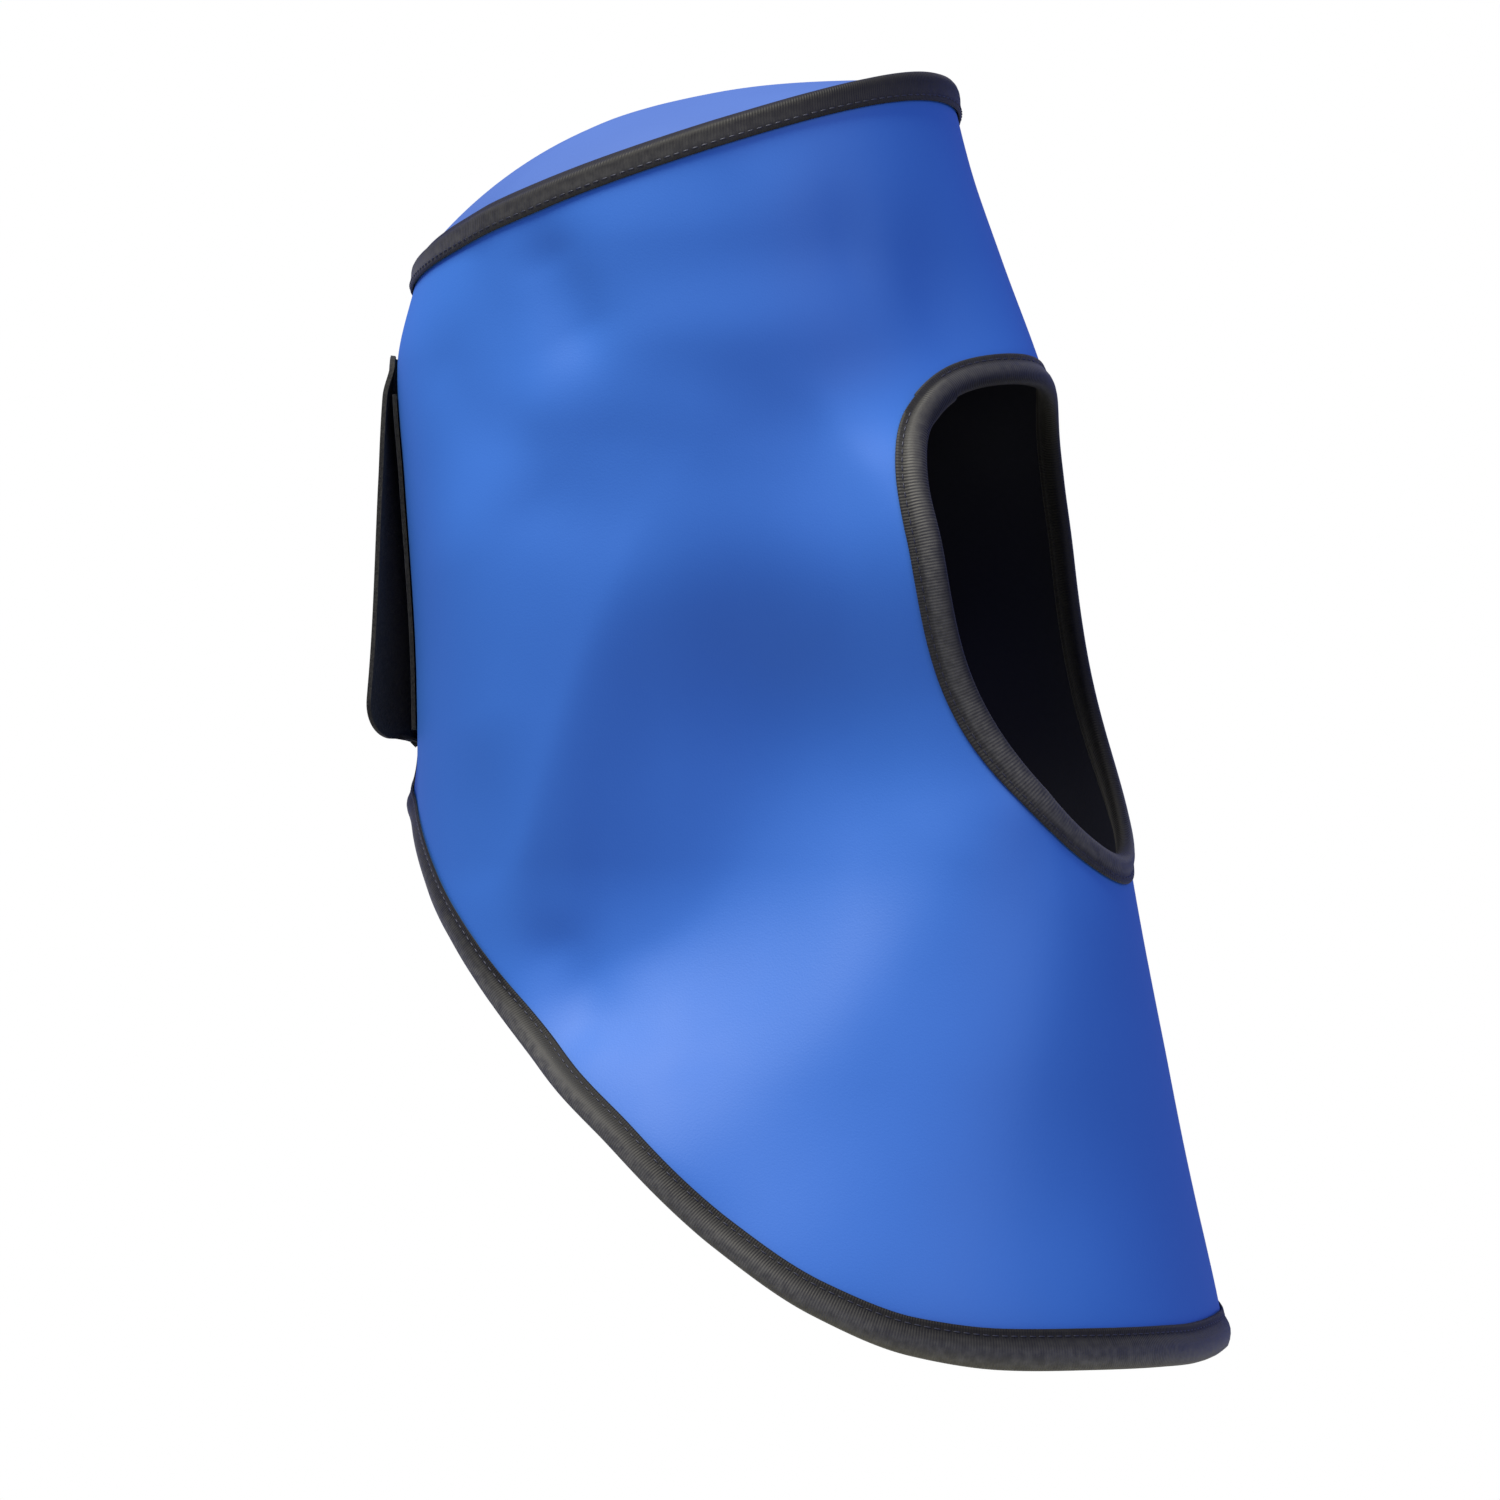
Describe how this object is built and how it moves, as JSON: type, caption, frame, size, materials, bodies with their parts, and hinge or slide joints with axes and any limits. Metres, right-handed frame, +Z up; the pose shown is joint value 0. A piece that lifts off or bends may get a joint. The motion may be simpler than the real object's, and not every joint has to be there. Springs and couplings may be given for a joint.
{
  "type": "protective hood",
  "caption": "Full hood of coated lead-rubber sheet with a face window, domed crown, flared front bib, black tape bindings and a hook-and-loop tab across the back slit.",
  "frame": {"origin": "underside of the crown at its middle, where the hood sits on the head", "axes": "+Z up as worn, -Y to the face window, +X to the wearer's left"},
  "size_m": [0.2528, 0.3054, 0.4265],
  "materials": {
    "cloth": "satin coated cloth over lead rubber",
    "tape": "black woven binding tape",
    "nap": "black hook-and-loop tape, matt"
  },
  "bodies": {
    "root": {"crown_panel": "cloth", "crown_binding": "tape", "hood_wall": "cloth", "window_binding": "tape", "hem_binding": "tape", "closure_tab": "nap", "loop_strip": "nap"}
  },
  "joints": []
}
